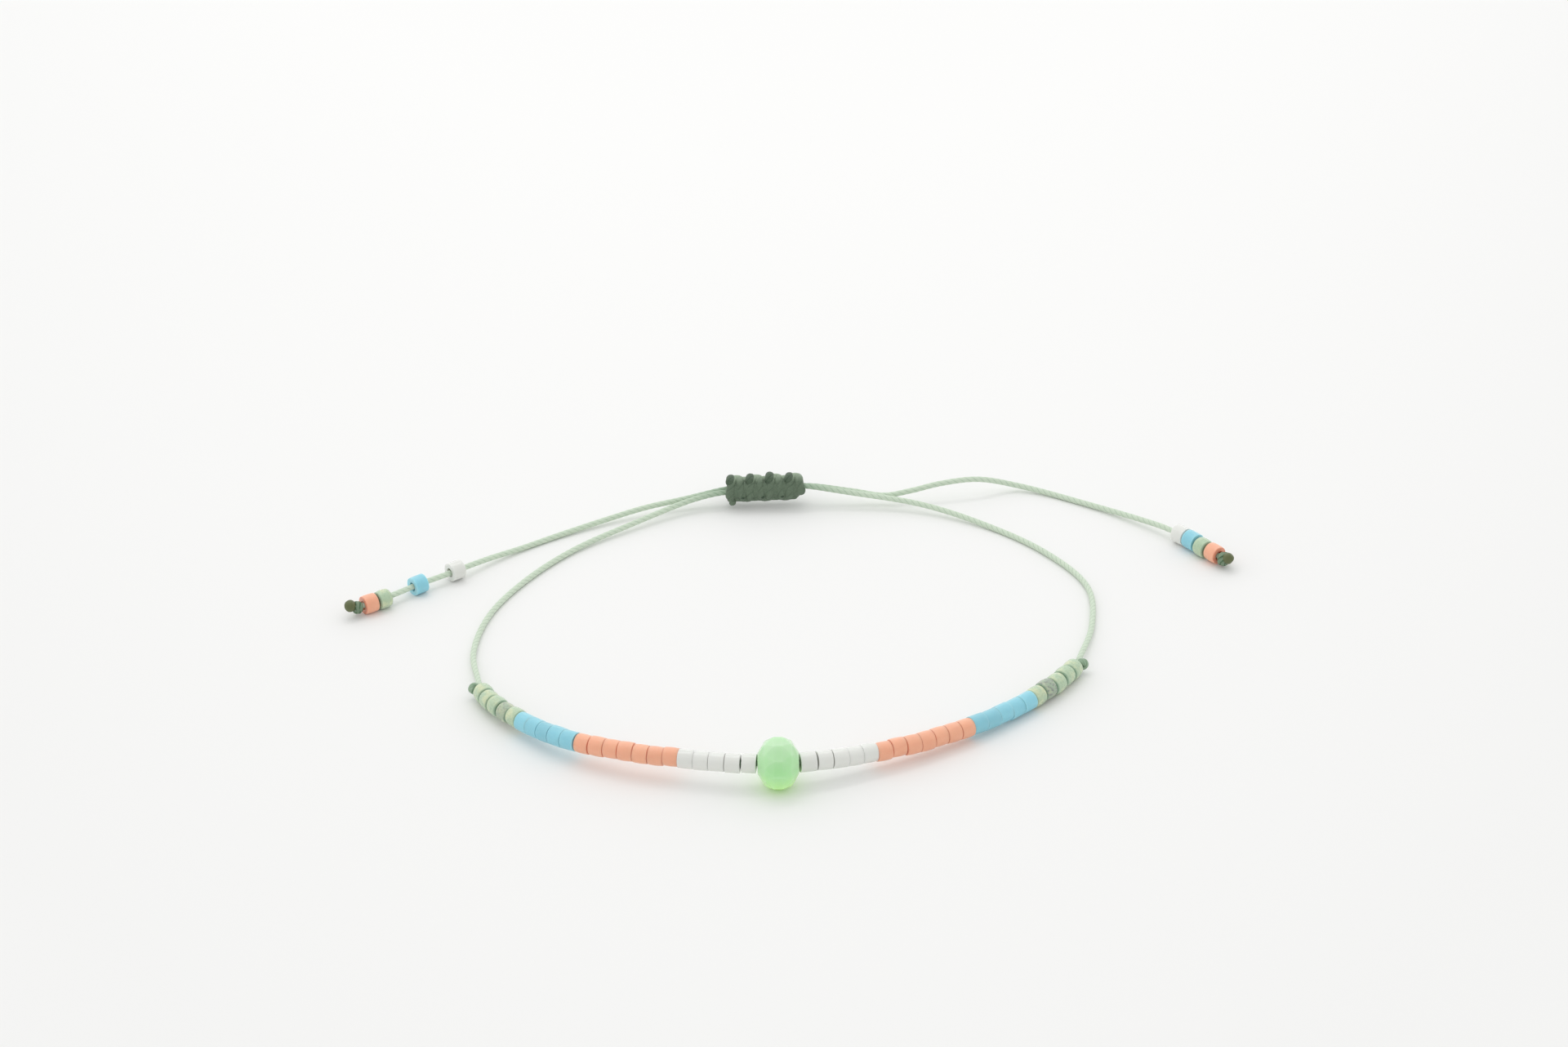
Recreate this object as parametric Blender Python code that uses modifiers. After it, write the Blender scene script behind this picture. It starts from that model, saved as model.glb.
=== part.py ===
"""Adjustable beaded cord bracelet, lying on a table with its front at -Y.

Metres, +Z up. The origin is on the table under the middle of the bracelet. One cord runs through a string
of small cylinder beads with a faceted rondelle in the middle. Both its ends pass through a macrame sliding
knot at the back and come out as tails, each with four beads and an end knot.
"""
import math

import bmesh
import bpy
from mathutils import Matrix, Vector

MM = 0.001

# Cord
CORD_DIAMETER = 0.5 * MM
CORD_GAP = 0.05 * MM
CORD_STEP = 1.25 * MM

# Cylinder beads
BEAD_DIAMETER = 1.6 * MM
BEAD_EDGE = 0.13 * MM
BEAD_SIDES = 12
THREAD_CLEARANCE = 0.3 * MM
WHITE_LENGTH = 1.20 * MM
CORAL_LENGTH = 1.21 * MM
BLUE_LENGTH = 1.20 * MM
SAGE_LENGTH = 1.20 * MM

# Rondelle
RONDELLE_DIAMETER = 4.4 * MM
RONDELLE_LENGTH = 3.34 * MM
RONDELLE_TABLE = 1.75 * MM
RONDELLE_GIRDLE = 0.7 * MM
RONDELLE_SHOULDER = 3.65 * MM
RONDELLE_CROWN = 0.58 * MM
RONDELLE_FACETS = 10
RONDELLE_CLEARANCE = 0.5 * MM
RONDELLE_GAP = 0.05 * MM

# Stop knots, one at each end of the bead string
STOP_KNOT_DIAMETER = 0.95 * MM
STOP_KNOT_LENGTH = 0.85 * MM
STOP_KNOT_OUTWARD = 0.52 * MM
STOP_KNOT_RISE = 0.08 * MM

# Sliding knot: a band of square knots round both cords
KNOT_COUNT = 4
KNOT_PITCH = 1.7 * MM
BAND_WIDTH = 2.3 * MM
BAND_THICKNESS = 1.95 * MM
LOBE_DIAMETER = 1.05 * MM
LOBE_REACH = 0.3 * MM
LOBE_SHIFT = -0.2 * MM
BAND_END = 0.2 * MM
BORE_CLEARANCE = 0.14 * MM
SLIDER_X = -1.15 * MM
SLIDER_Y = 23.15 * MM
SLIDER_HEIGHT = 1.65 * MM
SLIDER_TILT = math.radians(3.2)
SLIDER_ROLL = math.radians(62.0)
STUB_DIAMETER = 0.7 * MM
STUB_X = -2.8 * MM
STUB_Y = -0.5 * MM

# Knots at the ends of the tails
END_KNOT_DIAMETER = 1.4 * MM
END_KNOT_LENGTH = 1.05 * MM
MELTED_END_DIAMETER = 1.2 * MM
MELTED_END_OFFSET = 0.6 * MM
MELTED_END_RISE = 0.3 * MM

BEADS = {
    # colour: length, red, green, blue, roughness
    "white": (WHITE_LENGTH, 0.86, 0.87, 0.87, 0.15),
    "coral": (CORAL_LENGTH, 0.90, 0.36, 0.24, 0.30),
    "blue": (BLUE_LENGTH, 0.20, 0.58, 0.78, 0.30),
    "sage": (SAGE_LENGTH, 0.28, 0.36, 0.24, 0.22),
}

# From the rondelle outward: colour, beads on each side, gap between beads on the left and on the right
STRING_PATTERN = (
    ("white", 5, 0.04 * MM, 0.05 * MM),
    ("coral", 7, 0.03 * MM, 0.05 * MM),
    ("blue", 5, 0.03 * MM, 0.12 * MM),
    ("sage", 5, 0.03 * MM, 0.08 * MM),
)

# From the slider outward: colour, bare cord before the bead
LEFT_TAIL_BEADS = (("white", 25.8 * MM), ("blue", 2.55 * MM), ("sage", 2.5 * MM), ("coral", 0.1 * MM))
RIGHT_TAIL_BEADS = (("white", 35.4 * MM), ("blue", 0.18 * MM), ("sage", 0.18 * MM), ("coral", 0.18 * MM))

# Heights of the cord's middle line where it lies, is strung with beads, or is carried by something
CORD_SEAT = CORD_DIAMETER / 2
BEAD_SEAT = BEAD_DIAMETER / 2
RONDELLE_SEAT = RONDELLE_DIAMETER / 2 * math.cos(math.pi / RONDELLE_FACETS)
SLIDER_SEAT = SLIDER_HEIGHT

# The bracelet's route from the slider's left end round the front to its right end.
# Columns: x and y in millimetres, low seat, high seat, share of the rise from low to high
RING_ROUTE = (
    (-7.2, 22.4, CORD_SEAT, SLIDER_SEAT, 0.62),
    (-10.8, 20.2, CORD_SEAT, SLIDER_SEAT, 0.34),
    (-15.0, 17.75, CORD_SEAT, SLIDER_SEAT, 0.10),
    (-20.4, 12.05, CORD_SEAT, SLIDER_SEAT, 0.02),
    (-24.15, 5.5, CORD_SEAT, SLIDER_SEAT, 0.01),
    (-25.5, -0.45, CORD_SEAT, SLIDER_SEAT, 0.03),
    (-25.15, -4.6, CORD_SEAT, BEAD_SEAT, 0.45),
    (-24.38, -8.8, BEAD_SEAT, RONDELLE_SEAT, 0.1),
    (-21.05, -13.7, BEAD_SEAT, RONDELLE_SEAT, 0.33),
    (-16.45, -17.8, BEAD_SEAT, RONDELLE_SEAT, 0.71),
    (-9.2, -20.7, BEAD_SEAT, RONDELLE_SEAT, 0.93),
    (-0.25, -22.15, RONDELLE_SEAT, RONDELLE_SEAT, 0.0),
    (8.4, -19.5, BEAD_SEAT, RONDELLE_SEAT, 0.54),
    (15.45, -15.5, BEAD_SEAT, RONDELLE_SEAT, 0.24),
    (20.45, -11.2, BEAD_SEAT, RONDELLE_SEAT, 0.08),
    (24.15, -6.4, BEAD_SEAT, RONDELLE_SEAT, 0.01),
    (25.5, -1.6, CORD_SEAT, BEAD_SEAT, 0.35),
    (26.4, 3.2, CORD_SEAT, SLIDER_SEAT, 0.03),
    (25.7, 9.4, CORD_SEAT, SLIDER_SEAT, 0.01),
    (22.15, 14.45, CORD_SEAT, SLIDER_SEAT, 0.02),
    (17.3, 18.9, CORD_SEAT, SLIDER_SEAT, 0.06),
    (10.5, 22.1, CORD_SEAT, SLIDER_SEAT, 0.52),
    (6.2, 22.6, CORD_SEAT, SLIDER_SEAT, 0.84),
)
RONDELLE_INDEX = 11

# The tails' routes from the slider outward, with the same columns
LEFT_TAIL_ROUTE = (
    (-7.9, 22.85, CORD_SEAT, SLIDER_SEAT, 0.50),
    (-11.5, 21.75, CORD_SEAT, SLIDER_SEAT, 0.34),
    (-15.0, 20.2, CORD_SEAT, SLIDER_SEAT, 0.14),
    (-19.0, 17.95, CORD_SEAT, SLIDER_SEAT, 0.02),
    (-22.0, 15.9, CORD_SEAT, BEAD_SEAT, 0.08),
    (-24.7, 13.8, CORD_SEAT, BEAD_SEAT, 0.55),
    (-26.6, 12.05, CORD_SEAT, BEAD_SEAT, 0.99),
    (-28.2, 10.8, CORD_SEAT, BEAD_SEAT, 1.04),
    (-30.6, 9.15, CORD_SEAT, BEAD_SEAT, 1.01),
    (-33.5, 6.85, CORD_SEAT, BEAD_SEAT, 1.04),
    (-36.6, 4.9, CORD_SEAT, BEAD_SEAT, 1.02),
)
RIGHT_TAIL_ROUTE = (
    (6.6, 23.2, CORD_SEAT, SLIDER_SEAT, 0.68),
    (9.3, 23.0, CORD_SEAT, SLIDER_SEAT, 0.42),
    (11.6, 23.15, CORD_SEAT, SLIDER_SEAT, 0.65),
    (14.3, 23.6, CORD_SEAT, SLIDER_SEAT, 0.96),
    (17.5, 24.2, CORD_SEAT, SLIDER_SEAT, 0.96),
    (21.2, 24.8, CORD_SEAT, SLIDER_SEAT, 0.18),
    (27.4, 21.5, CORD_SEAT, BEAD_SEAT, 0.08),
    (31.5, 18.35, CORD_SEAT, BEAD_SEAT, 0.6),
    (33.35, 16.6, CORD_SEAT, BEAD_SEAT, 0.97),
    (35.2, 14.6, CORD_SEAT, BEAD_SEAT, 1.04),
    (37.4, 11.8, CORD_SEAT, BEAD_SEAT, 1.02),
    (39.8, 8.9, CORD_SEAT, BEAD_SEAT, 0.88),
)

# Angle of the right cord round the left one inside the slider, from +Y towards +Z, at its left and right ends
PAIR_ANGLE_LEFT = math.radians(-3.0)
PAIR_ANGLE_RIGHT = math.radians(150.0)

BEAD_FACE_RADIUS = BEAD_DIAMETER / 2 - BEAD_EDGE
BAND_LENGTH = KNOT_COUNT * KNOT_PITCH + BAND_END
SLIDER_BORE = 2 * CORD_DIAMETER + CORD_GAP + BORE_CLEARANCE
SLIDER_MIDDLE = Vector((SLIDER_X, SLIDER_Y, SLIDER_HEIGHT))
SLIDER_AXIS = Vector((math.cos(SLIDER_TILT), 0.0, math.sin(SLIDER_TILT)))
RONDELLE_AXIS = Vector((1.0, 0.0, 0.0))
UP = Vector((0.0, 0.0, 1.0))


class Route:
    """A smooth curve through chosen points, read by distance along it."""

    def __init__(self, points, samples=24):
        padded = [2 * points[0] - points[1], *points, 2 * points[-1] - points[-2]]
        self.points = []
        self.marks = []
        for i in range(1, len(padded) - 2):
            self.marks.append(len(self.points))
            for k in range(samples):
                self.points.append(catmull_rom(padded[i - 1:i + 3], k / samples))
        self.marks.append(len(self.points))
        self.points.append(points[-1])
        self.distances = [0.0]
        for a, b in zip(self.points, self.points[1:]):
            self.distances.append(self.distances[-1] + (b - a).length)
        self.length = self.distances[-1]

    def distance_of(self, index):
        return self.distances[self.marks[index]]

    def at(self, distance):
        for i in range(len(self.points) - 1):
            if distance <= self.distances[i + 1] or i == len(self.points) - 2:
                span = self.distances[i + 1] - self.distances[i]
                return self.points[i].lerp(self.points[i + 1], (distance - self.distances[i]) / span)

    def along(self, distance):
        return (self.at(distance + CORD_DIAMETER) - self.at(distance - CORD_DIAMETER)).normalized()

    def between(self, start, end, step):
        count = max(2, round(abs(end - start) / step))
        return [self.at(start + (end - start) * i / count) for i in range(count + 1)]


def mix(a, b, low, high, value):
    return a.lerp(b, (value - low) / (high - low))


def catmull_rom(four, t):
    """Centripetal Catmull-Rom curve between the second and third of four points."""
    knots = [0.0]
    for a, b in zip(four, four[1:]):
        knots.append(knots[-1] + (b - a).length ** 0.5)
    value = knots[1] + (knots[2] - knots[1]) * t
    first = [mix(four[i], four[i + 1], knots[i], knots[i + 1], value) for i in range(3)]
    second = [mix(first[i], first[i + 1], knots[i], knots[i + 2], value) for i in range(2)]
    return mix(second[0], second[1], knots[1], knots[2], value)


def route_points(table):
    points = []
    for x, y, low, high, share in table:
        points.append(Vector((x * MM, y * MM, low + (high - low) * share)))
    return points


def material(name, color, roughness, transmission=0.0):
    made = bpy.data.materials.new(name)
    made.use_nodes = True
    shader = made.node_tree.nodes["Principled BSDF"]
    shader.inputs["Base Color"].default_value = (*color, 1.0)
    shader.inputs["Roughness"].default_value = roughness
    shader.inputs["Metallic"].default_value = 0.0
    shader.inputs["Transmission Weight"].default_value = transmission
    return made


def add_object(name, data, collection, finish=None):
    made = bpy.data.objects.new(name, data)
    collection.objects.link(made)
    if finish:
        data.materials.clear()
        data.materials.append(finish)
    return made


def hide_helper(helper):
    helper.hide_render = True
    helper.display_type = "WIRE"


def join_solid(base, helper, operation):
    """Adds a Boolean of a hidden helper to a piece, such as UNION or DIFFERENCE."""
    modifier = base.modifiers.new(operation.lower(), "BOOLEAN")
    modifier.operation = operation
    modifier.solver = "EXACT"
    modifier.object = helper
    hide_helper(helper)


def frame_on(middle, axis):
    """Placement whose local Z runs along the axis."""
    return Matrix.Translation(middle) @ axis.to_track_quat("Z", "Y").to_matrix().to_4x4()


def lathe_bead_mesh(name, length, collection):
    """A short drilled cylinder with rounded rims, its profile turned about Z."""
    outer = BEAD_DIAMETER / 2
    bore = (CORD_DIAMETER + THREAD_CLEARANCE) / 2
    half = length / 2
    profile = (
        (bore, half), (outer - BEAD_EDGE, half), (outer, half - BEAD_EDGE),
        (outer, BEAD_EDGE - half), (outer - BEAD_EDGE, -half), (bore, -half),
    )
    mesh = bpy.data.meshes.new(name)
    edges = [(i, (i + 1) % len(profile)) for i in range(len(profile))]
    mesh.from_pydata([(r, 0.0, z) for r, z in profile], edges, [])
    helper = add_object(name + "_profile", mesh, collection)
    screw = helper.modifiers.new("turned", "SCREW")
    screw.steps = BEAD_SIDES
    screw.render_steps = BEAD_SIDES
    screw.use_merge_vertices = True
    screw.merge_threshold = 0.00001
    bpy.context.view_layer.update()
    turned = bpy.data.meshes.new_from_object(helper.evaluated_get(bpy.context.evaluated_depsgraph_get()))
    turned.name = name
    bpy.data.objects.remove(helper)
    turned.shade_smooth()
    turned.set_sharp_from_angle(angle=math.radians(40.0))
    return turned


def rondelle_mesh():
    """A faceted bead about Z: the hull of rings of corners, with a facet of its girdle square to -Y."""
    rings = (
        # height, diameter, turn in half facets
        (RONDELLE_GIRDLE / 2, RONDELLE_DIAMETER, 0),
        (RONDELLE_LENGTH / 2 - RONDELLE_CROWN, RONDELLE_SHOULDER, 1),
        (RONDELLE_LENGTH / 2, RONDELLE_TABLE, 0),
    )
    shape = bmesh.new()
    for side in (-1, 1):
        for height, diameter, turn in rings:
            for i in range(RONDELLE_FACETS):
                angle = math.pi / RONDELLE_FACETS * (2 * i + 1 + turn) - math.pi / 2
                corner = Vector((math.cos(angle), math.sin(angle), 0.0)) * (diameter / 2)
                shape.verts.new(corner + Vector((0.0, 0.0, side * height)))
    bmesh.ops.convex_hull(shape, input=shape.verts)
    bmesh.ops.dissolve_limit(shape, angle_limit=math.radians(1.0), verts=shape.verts, edges=shape.edges)
    mesh = bpy.data.meshes.new("rondelle")
    shape.to_mesh(mesh)
    shape.free()
    return mesh


def ball_mesh(name, width, length, sides=12, rings=8):
    """An ellipsoid about Z."""
    shape = bmesh.new()
    bmesh.ops.create_uvsphere(shape, u_segments=sides, v_segments=rings, radius=width / 2)
    bmesh.ops.scale(shape, vec=(1.0, 1.0, length / width), verts=shape.verts)
    mesh = bpy.data.meshes.new(name)
    shape.to_mesh(mesh)
    shape.free()
    mesh.shade_smooth()
    return mesh


def cylinder_mesh(name, diameter, length, sides):
    shape = bmesh.new()
    bmesh.ops.create_cone(
        shape, cap_ends=True, segments=sides, radius1=diameter / 2, radius2=diameter / 2, depth=length)
    mesh = bpy.data.meshes.new(name)
    shape.to_mesh(mesh)
    shape.free()
    return mesh


def tube_curve(name, points, diameter):
    curve = bpy.data.curves.new(name, "CURVE")
    curve.dimensions = "3D"
    curve.bevel_depth = diameter / 2
    curve.bevel_resolution = 2
    curve.use_fill_caps = True
    spline = curve.splines.new("POLY")
    spline.points.add(len(points) - 1)
    for slot, point in zip(spline.points, points):
        slot.co = (*point, 1.0)
    return curve


def tube_mesh(name, points, diameter, collection):
    """The tube as a mesh with its caps welded, so that it can take a Boolean."""
    helper = add_object(name + "_curve", tube_curve(name, points, diameter), collection)
    bpy.context.view_layer.update()
    mesh = bpy.data.meshes.new_from_object(helper.evaluated_get(bpy.context.evaluated_depsgraph_get()))
    mesh.name = name
    bpy.data.objects.remove(helper)
    shape = bmesh.new()
    shape.from_mesh(mesh)
    bmesh.ops.remove_doubles(shape, verts=shape.verts, dist=0.000001)
    shape.to_mesh(mesh)
    shape.free()
    return mesh


def string_places(ring, middle, side):
    """Names, colours and distances of one side's beads, and the distance where its last bead ends."""
    step = 1 if side == "right" else -1
    face = middle + step * RONDELLE_LENGTH / 2
    gap = RONDELLE_GAP
    heading = RONDELLE_AXIS
    places = []
    for color, count, left_gap, right_gap in STRING_PATTERN:
        for number in range(1, count + 1):
            length = BEADS[color][0]
            turn = heading.angle(ring.along(face + step * length / 2))
            centre = face + step * (gap + BEAD_FACE_RADIUS * turn + length / 2)
            places.append((f"bead_{side}_{color}_{number}", color, centre))
            face = centre + step * length / 2
            gap = right_gap if side == "right" else left_gap
            heading = ring.along(centre)
    return places, face + step * gap


def make_string(ring, middle, meshes, parts):
    """Both sides' beads; returns the distances at which the stop knots begin."""
    knots = {}
    for side in ("left", "right"):
        places, knots[side] = string_places(ring, middle, side)
        for name, color, centre in places:
            bead = add_object(name, meshes[color], parts)
            bead.matrix_world = frame_on(ring.at(centre), ring.along(centre))
    return knots


def make_rondelle(ring, middle, finish, parts, cutters):
    rondelle = add_object("rondelle", rondelle_mesh(), parts, finish)
    rondelle.matrix_world = frame_on(ring.at(middle), RONDELLE_AXIS)
    bore_diameter = CORD_DIAMETER + RONDELLE_CLEARANCE
    drill = cylinder_mesh("rondelle_bore", bore_diameter, 2 * RONDELLE_LENGTH, BEAD_SIDES)
    bore = add_object("rondelle_bore", drill, cutters)
    bore.matrix_world = rondelle.matrix_world
    join_solid(rondelle, bore, "DIFFERENCE")


def make_core_thread(ring, knots, finish, parts, cutters):
    """The cord inside the beads with a stop knot tied at each end; returns where the loops begin.

    The lump of each knot lies on the outer side of the cord and a little above it.
    """
    middles = {
        "left": knots["left"] - STOP_KNOT_LENGTH / 2,
        "right": knots["right"] + STOP_KNOT_LENGTH / 2,
    }
    points = ring.between(middles["left"], middles["right"], CORD_STEP)
    thread = tube_mesh("core_thread", points, CORD_DIAMETER, cutters)
    core = add_object("core_thread", thread, parts, finish)
    for side, distance in middles.items():
        lump = ball_mesh("stop_knot_" + side, STOP_KNOT_DIAMETER, STOP_KNOT_LENGTH)
        knot = add_object("stop_knot_" + side, lump, cutters)
        heading = ring.along(distance)
        outward = heading.cross(UP).normalized()
        offset = outward * STOP_KNOT_OUTWARD + UP * STOP_KNOT_RISE
        knot.matrix_world = frame_on(ring.at(distance) + offset, heading)
        join_solid(core, knot, "UNION")
    reach = STOP_KNOT_LENGTH / 2 + CORD_GAP
    return {"left": middles["left"] - reach, "right": middles["right"] + reach}


def slider_points(base_angle):
    """The way of one cord through the slider from left to right, half a pair's spacing off its axis."""
    points = []
    for i in range(5):
        share = i / 4
        angle = base_angle + PAIR_ANGLE_LEFT + (PAIR_ANGLE_RIGHT - PAIR_ANGLE_LEFT) * share
        offset = Vector((0.0, math.cos(angle), math.sin(angle))) * (CORD_DIAMETER + CORD_GAP) / 2
        points.append(SLIDER_MIDDLE + SLIDER_AXIS * BAND_LENGTH * (share - 0.5) + offset)
    return points


def cord_routes(ring, loops):
    """Each cord's whole route, from its stop knot round its loop, through the slider and along its tail."""
    steps = 6
    left_loop = [ring.at(loops["left"] * (1 - i / steps)) for i in range(steps + 1)]
    right_length = ring.length - loops["right"]
    right_loop = [ring.at(loops["right"] + right_length * i / steps) for i in range(steps + 1)]
    left_tail = route_points(LEFT_TAIL_ROUTE)
    right_tail = route_points(RIGHT_TAIL_ROUTE)
    left = Route(left_loop + slider_points(math.pi) + right_tail)
    right = Route(right_loop + slider_points(0.0)[::-1] + left_tail)
    return {"left": left, "right": right}, steps + 5


def tail_places(cord, face, pattern, side):
    """Names, colours and distances of a tail's beads, and the distance of the last bead's outer face."""
    places = []
    for color, bare in pattern:
        length = BEADS[color][0]
        centre = face + bare + length / 2
        places.append((f"tail_{side}_{color}", color, centre))
        face = centre + length / 2
    return places, face


def make_end_knot(side, cord, face, finish, parts, cutters):
    """A knot that stops the tail's beads, with the melted end of the cord beyond it."""
    middle = face + CORD_GAP + END_KNOT_LENGTH / 2
    knot = add_object(
        "end_knot_" + side, ball_mesh("end_knot_" + side, END_KNOT_DIAMETER, END_KNOT_LENGTH), parts, finish)
    knot.matrix_world = frame_on(cord.at(middle), cord.along(middle))
    blob = ball_mesh("melted_end_" + side, MELTED_END_DIAMETER, MELTED_END_DIAMETER)
    tip = add_object("melted_end_" + side, blob, cutters)
    place = cord.at(middle + MELTED_END_OFFSET) + UP * MELTED_END_RISE
    tip.matrix_world = frame_on(place, cord.along(middle))
    join_solid(knot, tip, "UNION")


def make_tail(side, cord, start, pattern, meshes, finishes, parts, cutters):
    """A tail's beads and end knot; returns where its cord ends."""
    places, face = tail_places(cord, start, pattern, side)
    for name, color, centre in places:
        bead = add_object(name, meshes[color], parts)
        bead.matrix_world = frame_on(cord.at(centre), cord.along(centre))
    make_end_knot(side, cord, face, finishes["cord"], parts, cutters)
    return face


def make_slider(finish, parts, cutters):
    """A band of square knots: a flat bar with a row of lobes along each edge, bored for both cords."""
    place = (
        Matrix.Translation(SLIDER_MIDDLE)
        @ Matrix.Rotation(-SLIDER_TILT, 4, "Y")
        @ Matrix.Rotation(SLIDER_ROLL, 4, "X")
    )
    lying = Matrix.Rotation(math.radians(90.0), 4, "Y")
    bar = cylinder_mesh("slider_knot", 1.0, BAND_LENGTH, 16)
    bar.transform(Matrix.Diagonal((BAND_THICKNESS, BAND_WIDTH, 1.0, 1.0)))
    bar.transform(lying)
    slider = add_object("slider_knot", bar, parts, finish)
    slider.matrix_world = place
    bevel = slider.modifiers.new("rounded ends", "BEVEL")
    bevel.width = CORD_DIAMETER / 2
    bevel.segments = 2
    for row, edge in enumerate((1, -1)):
        for i in range(KNOT_COUNT - row):
            name = f"slider_lobe_{'upper' if edge > 0 else 'lower'}_{i + 1}"
            lobe = add_object(name, ball_mesh(name, LOBE_DIAMETER, BAND_THICKNESS * 0.7, 10, 6), cutters)
            along = (i - (KNOT_COUNT - 1) / 2 + 0.5 * row) * KNOT_PITCH + LOBE_SHIFT
            reach = BAND_WIDTH / 2 + LOBE_REACH - LOBE_DIAMETER / 2
            lobe.matrix_world = place @ Matrix.Translation((along, edge * reach, 0.0))
            join_solid(slider, lobe, "UNION")
    stub_top = SLIDER_MIDDLE + SLIDER_AXIS * STUB_X + Vector((0.0, STUB_Y, 0.0))
    stub_height = stub_top.z
    stub = add_object("slider_stub", ball_mesh("slider_stub", STUB_DIAMETER, stub_height), cutters)
    stub.matrix_world = Matrix.Translation((stub_top.x, stub_top.y, stub_height / 2))
    join_solid(slider, stub, "UNION")
    bore = add_object("slider_bore", cylinder_mesh("slider_bore", SLIDER_BORE, 2 * BAND_LENGTH, 14), cutters)
    bore.matrix_world = place @ lying
    join_solid(slider, bore, "DIFFERENCE")


def main():
    for leftover in list(bpy.data.objects):
        bpy.data.objects.remove(leftover)
    parts = bpy.data.collections.new("beaded_bracelet")
    cutters = bpy.data.collections.new("cutters")
    bpy.context.scene.collection.children.link(parts)
    bpy.context.scene.collection.children.link(cutters)

    finishes = {
        "cord": material("sage cord", (0.27, 0.40, 0.26), 0.6),
        "slider": material("dark sage cord", (0.07, 0.12, 0.075), 0.7),
        "rondelle": material("mint glass", (0.42, 0.83, 0.46), 0.1, 0.3),
    }
    meshes = {}
    for color, (length, red, green, blue, roughness) in BEADS.items():
        meshes[color] = lathe_bead_mesh("bead_" + color, length, cutters)
        meshes[color].materials.append(material(color + " bead", (red, green, blue), roughness))

    ring = Route(route_points(RING_ROUTE))
    middle = ring.distance_of(RONDELLE_INDEX)
    knots = make_string(ring, middle, meshes, parts)
    make_rondelle(ring, middle, finishes["rondelle"], parts, cutters)
    loops = make_core_thread(ring, knots, finishes["cord"], parts, cutters)

    routes, slider_exit = cord_routes(ring, loops)
    tails = {"left": ("right", RIGHT_TAIL_BEADS), "right": ("left", LEFT_TAIL_BEADS)}
    for side, cord in routes.items():
        tail, pattern = tails[side]
        start = cord.distance_of(slider_exit)
        end = make_tail(tail, cord, start, pattern, meshes, finishes, parts, cutters)
        curve = tube_curve(side + "_cord", cord.between(0.0, end, CORD_STEP), CORD_DIAMETER)
        add_object(side + "_cord", curve, parts, finishes["cord"])
    make_slider(finishes["slider"], parts, cutters)


main()
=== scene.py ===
"""Beaded cord bracelet on a white studio floor: its twisted cords, glass beads, knots, light and camera.

Metres, +Z up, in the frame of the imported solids. Each group of pieces is made by an operator of its own.
"""
import math
import random

import bmesh
import bpy
from mathutils import Matrix, Vector, noise


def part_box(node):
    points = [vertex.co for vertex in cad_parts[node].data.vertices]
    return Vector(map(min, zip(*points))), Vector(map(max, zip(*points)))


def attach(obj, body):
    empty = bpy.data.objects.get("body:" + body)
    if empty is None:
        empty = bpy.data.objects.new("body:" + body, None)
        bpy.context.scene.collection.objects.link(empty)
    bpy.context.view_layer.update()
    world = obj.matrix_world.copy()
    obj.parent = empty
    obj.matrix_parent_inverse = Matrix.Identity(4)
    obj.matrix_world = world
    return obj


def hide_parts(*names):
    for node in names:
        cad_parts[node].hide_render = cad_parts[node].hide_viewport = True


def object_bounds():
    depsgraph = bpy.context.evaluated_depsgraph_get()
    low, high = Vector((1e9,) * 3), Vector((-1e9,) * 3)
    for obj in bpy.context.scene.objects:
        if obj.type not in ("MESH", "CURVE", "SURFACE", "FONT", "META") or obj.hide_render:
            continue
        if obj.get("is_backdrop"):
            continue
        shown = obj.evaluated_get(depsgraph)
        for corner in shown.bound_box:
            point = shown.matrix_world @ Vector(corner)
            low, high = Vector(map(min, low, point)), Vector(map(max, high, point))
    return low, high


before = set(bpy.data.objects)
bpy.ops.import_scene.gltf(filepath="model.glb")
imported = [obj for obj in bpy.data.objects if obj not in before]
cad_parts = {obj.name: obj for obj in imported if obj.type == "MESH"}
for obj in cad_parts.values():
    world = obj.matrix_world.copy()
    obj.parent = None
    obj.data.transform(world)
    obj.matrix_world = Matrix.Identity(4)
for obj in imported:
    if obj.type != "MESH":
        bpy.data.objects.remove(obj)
CAD_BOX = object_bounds()

bl_info = {
    "name": "Beaded Cord Bracelet",
    "version": (1, 0, 0),
    "blender": (4, 5, 0),
    "location": "3D View > Sidebar > Bracelet",
    "description": "Makes a bracelet of glass beads on twisted cord with a sliding knot, and its studio",
    "category": "Object",
}

MM = 0.001
BODY = "root"

# Cord
CORD_DIAMETER = 0.5 * MM
CORD_GAP = 0.05 * MM
CORD_RING_STEP = 0.12 * MM
CORE_RING_STEP = 0.2 * MM
KNOT_RING_STEP = 0.09 * MM
POINTS_PER_PLY = 8
CORE_POINTS_PER_PLY = 4
WRAP_POINTS_PER_TURN = 28
END_TAPER = 0.12

# Bead string
BEAD_DIAMETER = 1.6 * MM
RONDELLE_DIAMETER = 4.4 * MM
RONDELLE_FACETS = 10
RONDELLE_BEVEL = 0.06 * MM
RONDELLE_BORE_REACH = 0.62 * MM
STOP_KNOT_LENGTH = 0.85 * MM
STOP_KNOT_OUTWARD = 0.52 * MM
STOP_KNOT_RISE = 0.08 * MM

# Sliding knot
KNOT_COUNT = 4
KNOT_PITCH = 1.7 * MM
BAND_LENGTH = KNOT_COUNT * KNOT_PITCH + 0.2 * MM
SLIDER_MIDDLE = Vector((-1.15 * MM, 23.15 * MM, 1.65 * MM))
SLIDER_TILT = math.radians(3.2)
SLIDER_ROLL = math.radians(62.0)
PAIR_ANGLE_LEFT = math.radians(-3.0)
PAIR_ANGLE_RIGHT = math.radians(150.0)
SLIDER_AXIS = Vector((math.cos(SLIDER_TILT), 0.0, math.sin(SLIDER_TILT)))
UP = Vector((0.0, 0.0, 1.0))

# Knots at the ends of the tails
END_KNOT_LENGTH = 1.05 * MM

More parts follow.
